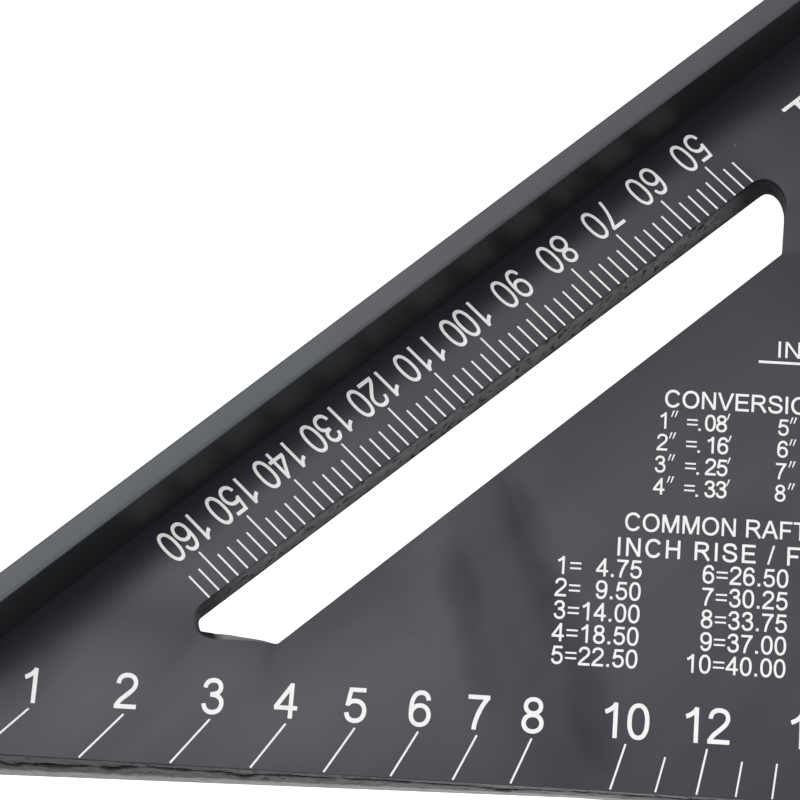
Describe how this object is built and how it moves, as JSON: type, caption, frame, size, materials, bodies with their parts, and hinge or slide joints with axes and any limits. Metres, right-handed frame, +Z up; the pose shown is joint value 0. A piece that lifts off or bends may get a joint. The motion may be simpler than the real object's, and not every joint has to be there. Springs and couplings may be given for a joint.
{
  "type": "speed square",
  "caption": "Right-angled triangular marking square with a T-shaped fence along one leg, a slanted-end slot and white printed scales.",
  "frame": {"origin": "centre of the bottom of the bounding box, level with the fence's lower edge", "axes": "+X along the fence away from the right-angle corner, +Y from the fence towards the tip of the free leg, +Z up out of the marked front face"},
  "size_m": [0.222, 0.2244, 0.0298],
  "materials": {
    "blade_coating": "satin black coating on aluminium",
    "fence_coating": "satin black coating on aluminium",
    "white_print": "matt screen-printed ink"
  },
  "bodies": {
    "root": {"blade": "blade_coating", "fence_rail": "fence_coating", "slot_scale_marks": "white_print", "slot_scale_numerals": "white_print", "hip_valley_marks": "white_print", "hip_valley_numerals": "white_print", "leg_rule_marks": "white_print", "leg_rule_numerals": "white_print", "common_rafter_marks": "white_print", "common_rafter_numerals": "white_print", "degree_marks": "white_print", "degree_numerals": "white_print", "conversion_table": "white_print", "rise_angle_table": "white_print", "heading_rule": "white_print"}
  },
  "joints": []
}
